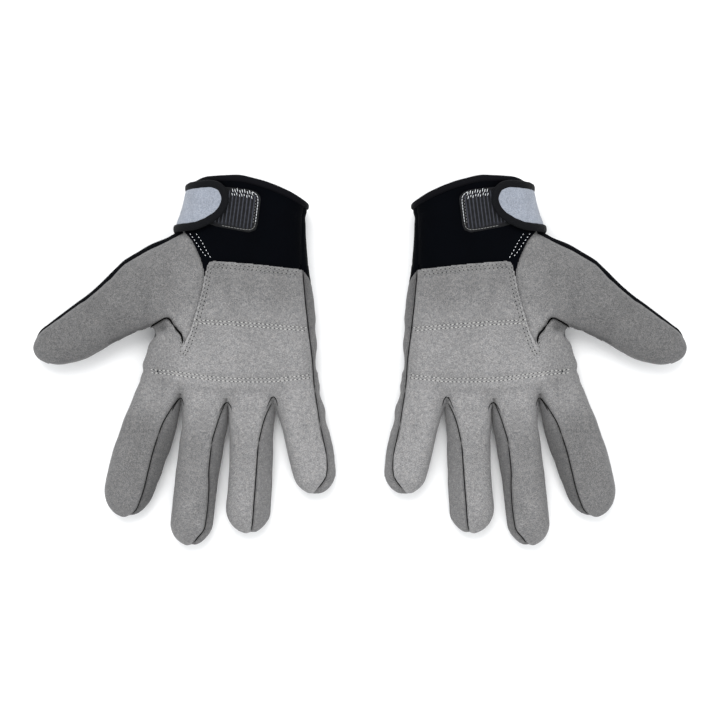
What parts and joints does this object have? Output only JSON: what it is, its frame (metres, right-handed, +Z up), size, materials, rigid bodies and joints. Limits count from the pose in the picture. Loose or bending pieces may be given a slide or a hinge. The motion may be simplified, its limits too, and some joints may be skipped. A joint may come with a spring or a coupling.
{
  "type": "sailing gloves",
  "caption": "Pair of full-finger sailing gloves with grey suede palms, black stretch backs and cuffs, and a hook-and-loop wrist strap on each cuff.",
  "frame": {"origin": "centre of the pair's footprint, on the surface the gloves lie on", "axes": "+X from the right-hand glove to the left-hand glove, +Y from the fingertips to the cuffs, +Z up, out of the palms"},
  "size_m": [0.3934, 0.2175, 0.0466],
  "materials": {
    "grey_suede": "matt napped",
    "strap_suede": "matt napped",
    "neoprene": "matt knit",
    "binding_tape": "matt woven",
    "hook_and_loop": "ribbed pile"
  },
  "bodies": {
    "right_hand_body": {"right_palm_panel": "grey_suede", "right_thumb_panel": "grey_suede", "right_back_panel": "neoprene", "right_cuff_front_panel": "neoprene", "right_ulnar_gusset": "grey_suede", "right_cuff_binding": "binding_tape", "right_loop_patch": "hook_and_loop"},
    "right_strap_body": {"right_wrist_strap": "strap_suede", "right_strap_binding": "binding_tape", "right_strap_hook_patch": "hook_and_loop"},
    "right_index_finger_base": {"right_index_finger_base_palm_side": "grey_suede", "right_index_finger_base_back_side": "neoprene"},
    "right_index_finger_tip": {"right_index_finger_tip_palm_side": "grey_suede", "right_index_finger_tip_back_side": "neoprene"},
    "right_middle_finger_base": {"right_middle_finger_base_palm_side": "grey_suede", "right_middle_finger_base_back_side": "neoprene"},
    "right_middle_finger_tip": {"right_middle_finger_tip_palm_side": "grey_suede", "right_middle_finger_tip_back_side": "neoprene"},
    "right_ring_finger_base": {"right_ring_finger_base_palm_side": "grey_suede", "right_ring_finger_base_back_side": "neoprene"},
    "right_ring_finger_tip": {"right_ring_finger_tip_palm_side": "grey_suede", "right_ring_finger_tip_back_side": "neoprene"},
    "right_little_finger_base": {"right_little_finger_base_palm_side": "grey_suede", "right_little_finger_base_back_side": "neoprene"},
    "right_little_finger_tip": {"right_little_finger_tip_palm_side": "grey_suede", "right_little_finger_tip_back_side": "neoprene"},
    "right_thumb_base": {"right_thumb_base_palm_side": "grey_suede", "right_thumb_base_back_side": "neoprene"},
    "right_thumb_tip": {"right_thumb_tip_palm_side": "grey_suede", "right_thumb_tip_back_side": "neoprene"},
    "left_hand_body": {"left_palm_panel": "grey_suede", "left_thumb_panel": "grey_suede", "left_back_panel": "neoprene", "left_cuff_front_panel": "neoprene", "left_ulnar_gusset": "grey_suede", "left_cuff_binding": "binding_tape", "left_loop_patch": "hook_and_loop"},
    "left_strap_body": {"left_wrist_strap": "strap_suede", "left_strap_binding": "binding_tape", "left_strap_hook_patch": "hook_and_loop"},
    "left_index_finger_base": {"left_index_finger_base_palm_side": "grey_suede", "left_index_finger_base_back_side": "neoprene"},
    "left_index_finger_tip": {"left_index_finger_tip_palm_side": "grey_suede", "left_index_finger_tip_back_side": "neoprene"},
    "left_middle_finger_base": {"left_middle_finger_base_palm_side": "grey_suede", "left_middle_finger_base_back_side": "neoprene"},
    "left_middle_finger_tip": {"left_middle_finger_tip_palm_side": "grey_suede", "left_middle_finger_tip_back_side": "neoprene"},
    "left_ring_finger_base": {"left_ring_finger_base_palm_side": "grey_suede", "left_ring_finger_base_back_side": "neoprene"},
    "left_ring_finger_tip": {"left_ring_finger_tip_palm_side": "grey_suede", "left_ring_finger_tip_back_side": "neoprene"},
    "left_little_finger_base": {"left_little_finger_base_palm_side": "grey_suede", "left_little_finger_base_back_side": "neoprene"},
    "left_little_finger_tip": {"left_little_finger_tip_palm_side": "grey_suede", "left_little_finger_tip_back_side": "neoprene"},
    "left_thumb_base": {"left_thumb_base_palm_side": "grey_suede", "left_thumb_base_back_side": "neoprene"},
    "left_thumb_tip": {"left_thumb_tip_palm_side": "grey_suede", "left_thumb_tip_back_side": "neoprene"}
  },
  "joints": [
    {"name": "gloves_apart", "type": "slide", "parent": "right_hand_body", "child": "left_hand_body", "axis": [1, 0, 0], "range_m": [0, 0.15]},
    {"name": "right_strap_peel", "type": "hinge", "parent": "right_hand_body", "child": "right_strap_body", "pos_m": [-0.1078, 0.0915, 0.0206], "axis": [-0.235, -0.972, 0], "range_deg": [0, 130]},
    {"name": "right_index_finger_bend", "type": "hinge", "parent": "right_hand_body", "child": "right_index_finger_base", "pos_m": [-0.1203, -0.0181, 0.0262], "axis": [-0.9461, 0.324, 0], "range_deg": [0, 60]},
    {"name": "right_index_finger_mid_bend", "type": "hinge", "parent": "right_index_finger_base", "child": "right_index_finger_tip", "pos_m": [-0.13294, -0.055, 0.0246], "axis": [-0.9461, 0.324, 0], "range_deg": [0, 60]},
    {"name": "right_middle_finger_bend", "type": "hinge", "parent": "right_hand_body", "child": "right_middle_finger_base", "pos_m": [-0.0933, -0.0236, 0.0256], "axis": [-0.9943, 0.107, 0], "range_deg": [0, 60]},
    {"name": "right_middle_finger_mid_bend", "type": "hinge", "parent": "right_middle_finger_base", "child": "right_middle_finger_tip", "pos_m": [-0.0978, -0.06536, 0.024], "axis": [-0.9943, 0.107, 0], "range_deg": [0, 60]},
    {"name": "right_ring_finger_bend", "type": "hinge", "parent": "right_hand_body", "child": "right_ring_finger_base", "pos_m": [-0.0654, -0.0244, 0.0256], "axis": [-0.9993, 0.038, 0], "range_deg": [0, 60]},
    {"name": "right_ring_finger_mid_bend", "type": "hinge", "parent": "right_ring_finger_base", "child": "right_ring_finger_tip", "pos_m": [-0.06688, -0.06337, 0.024], "axis": [-0.9993, 0.038, 0], "range_deg": [0, 60]},
    {"name": "right_little_finger_bend", "type": "hinge", "parent": "right_hand_body", "child": "right_little_finger_base", "pos_m": [-0.0386, -0.0229, 0.0254], "axis": [-0.972, -0.235, 0], "range_deg": [0, 60]},
    {"name": "right_little_finger_mid_bend", "type": "hinge", "parent": "right_little_finger_base", "child": "right_little_finger_tip", "pos_m": [-0.03155, -0.05206, 0.0234], "axis": [-0.972, -0.235, 0], "range_deg": [0, 60]},
    {"name": "right_thumb_bend", "type": "hinge", "parent": "right_hand_body", "child": "right_thumb_base", "pos_m": [-0.129, 0.0407, 0.0317], "axis": [-0.4659, 0.8848, 0], "range_deg": [0, 60]},
    {"name": "right_thumb_mid_bend", "type": "hinge", "parent": "right_thumb_base", "child": "right_thumb_tip", "pos_m": [-0.1582, 0.02533, 0.0278], "axis": [-0.4659, 0.8848, 0], "range_deg": [0, 60]},
    {"name": "left_strap_peel", "type": "hinge", "parent": "left_hand_body", "child": "left_strap_body", "pos_m": [0.1078, 0.0915, 0.0206], "axis": [-0.235, 0.972, 0], "range_deg": [0, 130]},
    {"name": "left_index_finger_bend", "type": "hinge", "parent": "left_hand_body", "child": "left_index_finger_base", "pos_m": [0.1203, -0.0181, 0.0262], "axis": [-0.9461, -0.324, 0], "range_deg": [0, 60]},
    {"name": "left_index_finger_mid_bend", "type": "hinge", "parent": "left_index_finger_base", "child": "left_index_finger_tip", "pos_m": [0.13294, -0.055, 0.0246], "axis": [-0.9461, -0.324, 0], "range_deg": [0, 60]},
    {"name": "left_middle_finger_bend", "type": "hinge", "parent": "left_hand_body", "child": "left_middle_finger_base", "pos_m": [0.0933, -0.0236, 0.0256], "axis": [-0.9943, -0.107, 0], "range_deg": [0, 60]},
    {"name": "left_middle_finger_mid_bend", "type": "hinge", "parent": "left_middle_finger_base", "child": "left_middle_finger_tip", "pos_m": [0.0978, -0.06536, 0.024], "axis": [-0.9943, -0.107, 0], "range_deg": [0, 60]},
    {"name": "left_ring_finger_bend", "type": "hinge", "parent": "left_hand_body", "child": "left_ring_finger_base", "pos_m": [0.0654, -0.0244, 0.0256], "axis": [-0.9993, -0.038, 0], "range_deg": [0, 60]},
    {"name": "left_ring_finger_mid_bend", "type": "hinge", "parent": "left_ring_finger_base", "child": "left_ring_finger_tip", "pos_m": [0.06688, -0.06337, 0.024], "axis": [-0.9993, -0.038, 0], "range_deg": [0, 60]},
    {"name": "left_little_finger_bend", "type": "hinge", "parent": "left_hand_body", "child": "left_little_finger_base", "pos_m": [0.0386, -0.0229, 0.0254], "axis": [-0.972, 0.235, 0], "range_deg": [0, 60]},
    {"name": "left_little_finger_mid_bend", "type": "hinge", "parent": "left_little_finger_base", "child": "left_little_finger_tip", "pos_m": [0.03155, -0.05206, 0.0234], "axis": [-0.972, 0.235, 0], "range_deg": [0, 60]},
    {"name": "left_thumb_bend", "type": "hinge", "parent": "left_hand_body", "child": "left_thumb_base", "pos_m": [0.129, 0.0407, 0.0317], "axis": [-0.4659, -0.8848, 0], "range_deg": [0, 60]},
    {"name": "left_thumb_mid_bend", "type": "hinge", "parent": "left_thumb_base", "child": "left_thumb_tip", "pos_m": [0.1582, 0.02533, 0.0278], "axis": [-0.4659, -0.8848, 0], "range_deg": [0, 60]}
  ],
  "couplings": [
    {"joint": "right_index_finger_mid_bend", "follows": "right_index_finger_bend", "ratio": 1},
    {"joint": "right_middle_finger_mid_bend", "follows": "right_middle_finger_bend", "ratio": 1},
    {"joint": "right_ring_finger_mid_bend", "follows": "right_ring_finger_bend", "ratio": 1},
    {"joint": "right_little_finger_mid_bend", "follows": "right_little_finger_bend", "ratio": 1},
    {"joint": "right_thumb_mid_bend", "follows": "right_thumb_bend", "ratio": 1},
    {"joint": "left_index_finger_mid_bend", "follows": "left_index_finger_bend", "ratio": 1},
    {"joint": "left_middle_finger_mid_bend", "follows": "left_middle_finger_bend", "ratio": 1},
    {"joint": "left_ring_finger_mid_bend", "follows": "left_ring_finger_bend", "ratio": 1},
    {"joint": "left_little_finger_mid_bend", "follows": "left_little_finger_bend", "ratio": 1},
    {"joint": "left_thumb_mid_bend", "follows": "left_thumb_bend", "ratio": 1}
  ]
}
